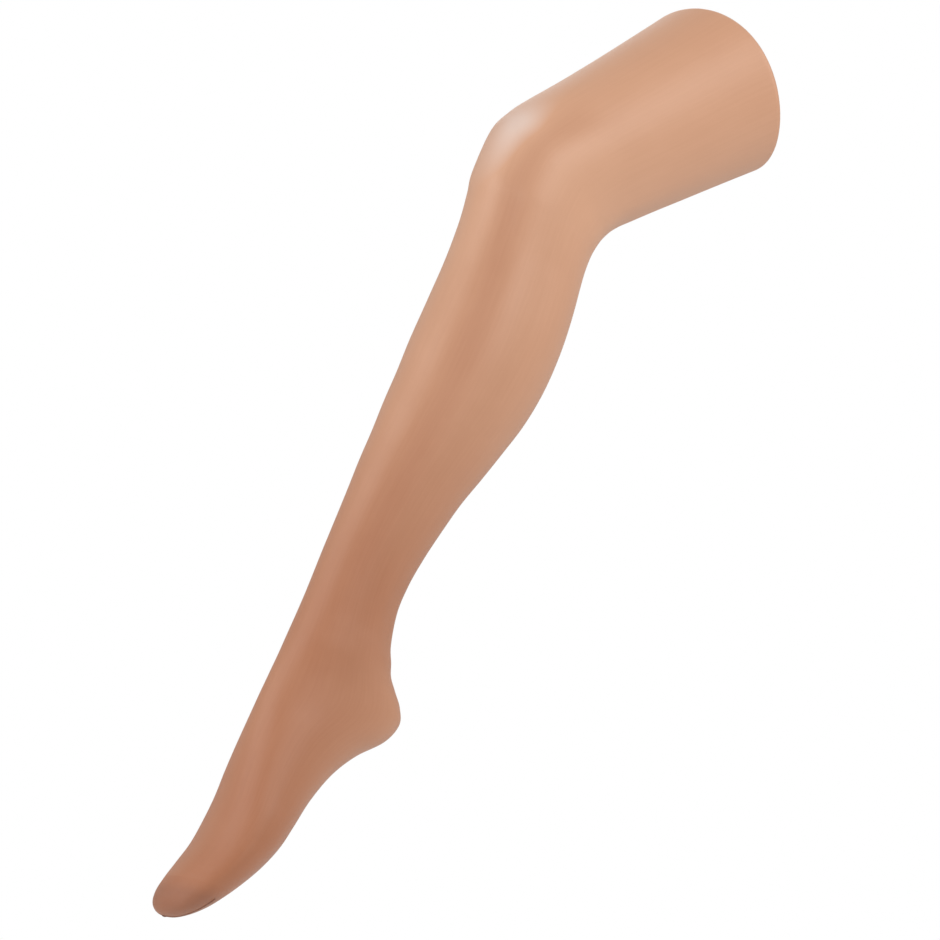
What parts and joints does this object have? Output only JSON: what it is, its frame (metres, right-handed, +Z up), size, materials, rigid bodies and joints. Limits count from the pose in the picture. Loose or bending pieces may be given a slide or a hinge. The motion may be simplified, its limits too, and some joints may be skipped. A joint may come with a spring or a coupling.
{
  "type": "prosthetic leg",
  "caption": "Covered knee-disarticulation prosthetic leg with bending knee, releasable ankle, foam cover, pointed foot and sheer nylon stocking.",
  "frame": {"origin": "centre of the flat face of the socket's end pad, on which the end of the residual limb bears", "axes": "+Z up, -X towards the toes, -Y to the outer side of this left leg; the thigh rises 23 degrees towards +X"},
  "size_m": [0.499, 0.1326, 0.6932],
  "materials": {
    "sheer_nylon": "satin",
    "toe_nylon": "matte",
    "skin_foam": "matte",
    "foot_foam": "matte",
    "socket_laminate": "satin",
    "liner_foam": "matte",
    "pad_gel": "matte",
    "aluminium": "satin",
    "tube_anodised": "satin",
    "screw_steel": "satin",
    "bush_bronze": "satin",
    "stop_rubber": "matte",
    "keel_carbon": "satin",
    "valve_plastic": "matte",
    "button_plastic": "satin"
  },
  "bodies": {
    "thigh": {"cover_thigh": "skin_foam", "stocking_thigh": "sheer_nylon", "stocking_welt": "sheer_nylon", "socket_shell": "socket_laminate", "socket_liner": "liner_foam", "end_pad": "pad_gel", "valve_body": "valve_plastic", "socket_plate": "aluminium", "plate_screw_1": "screw_steel", "plate_screw_2": "screw_steel", "plate_screw_3": "screw_steel", "plate_screw_4": "screw_steel", "knee_head": "aluminium", "receiver_screw_1": "screw_steel", "receiver_screw_2": "screw_steel", "receiver_screw_3": "screw_steel", "receiver_screw_4": "screw_steel", "knee_axle": "screw_steel", "axle_screw_outer": "screw_steel", "axle_screw_inner": "screw_steel", "knee_cap_pad": "skin_foam"},
    "shank": {"knee_block": "aluminium", "knee_bush_outer": "bush_bronze", "knee_bush_inner": "bush_bronze", "friction_screw": "screw_steel", "extension_stop": "stop_rubber", "upper_clamp_screw": "screw_steel", "pylon_tube": "tube_anodised", "tube_adapter": "aluminium", "adapter_screw_1": "screw_steel", "adapter_screw_2": "screw_steel", "adapter_screw_3": "screw_steel", "adapter_screw_4": "screw_steel", "lower_clamp_screw": "screw_steel", "ankle_fork": "aluminium", "ankle_pin": "screw_steel", "cover_shank": "skin_foam", "stocking_shank": "sheer_nylon"},
    "foot": {"ankle_block": "aluminium", "ankle_bush_outer": "bush_bronze", "ankle_bush_inner": "bush_bronze", "foot_keel": "keel_carbon", "foot_bolt": "screw_steel", "heel_cushion": "pad_gel", "foot_shell": "foot_foam", "stocking_foot": "sheer_nylon", "stocking_toe": "toe_nylon", "toe_seam": "toe_nylon"},
    "ankle_button": {"ankle_button": "button_plastic"},
    "valve_button": {"valve_button": "button_plastic"}
  },
  "joints": [
    {"name": "knee_flexion", "type": "hinge", "parent": "thigh", "child": "shank", "pos_m": [-0.06695, 0, -0.03168], "axis": [0, -1, 0], "range_deg": [-42, 48]},
    {"name": "ankle_dorsiflexion", "type": "hinge", "parent": "shank", "child": "foot", "pos_m": [-0.23684, 0, -0.39601], "axis": [0, 1, 0], "range_deg": [0, 68]},
    {"name": "ankle_button_press", "type": "slide", "parent": "foot", "child": "ankle_button", "axis": [0, -1, 0], "range_m": [0, 0.003], "stiffness_N_per_m": 600, "springref_m": -0.002},
    {"name": "valve_button_press", "type": "slide", "parent": "thigh", "child": "valve_button", "axis": [0, -1, 0], "range_m": [0, 0.003], "stiffness_N_per_m": 600, "springref_m": -0.002}
  ]
}
